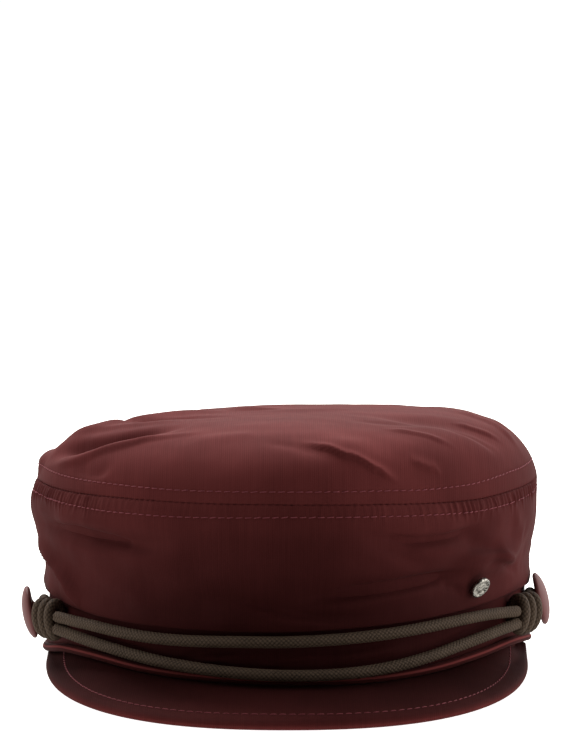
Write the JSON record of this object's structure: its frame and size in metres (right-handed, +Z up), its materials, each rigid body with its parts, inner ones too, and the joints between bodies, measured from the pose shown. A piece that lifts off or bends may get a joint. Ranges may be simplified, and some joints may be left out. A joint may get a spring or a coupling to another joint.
{
  "type": "kepi cap",
  "caption": "Soft-crowned kepi cap with a short flat peak and a doubled cord knotted to a covered button at each side.",
  "frame": {"origin": "middle of the head opening's oval, on the floor that the cap rests on", "axes": "+Z up, -Y out over the peak, +X to the wearer's left"},
  "size_m": [0.1947, 0.2485, 0.0918],
  "materials": {
    "crown_cloth": "burgundy gabardine, finely ribbed, with a slight sheen",
    "cord_cotton": "taupe braided cotton cord, waxed",
    "button_cover": "mauve burgundy covering, smooth",
    "stud_pewter": "aged pewter, worn bright on its rim"
  },
  "bodies": {
    "root": {"crown_tip": "crown_cloth", "crown_side": "crown_cloth", "headband": "crown_cloth", "edge_piping": "crown_cloth", "peak": "crown_cloth", "cord_upper": "cord_cotton", "cord_lower": "cord_cotton", "cord_knot_left": "cord_cotton", "cord_knot_right": "cord_cotton", "button_left": "button_cover", "button_right": "button_cover", "stud": "stud_pewter"}
  },
  "joints": []
}
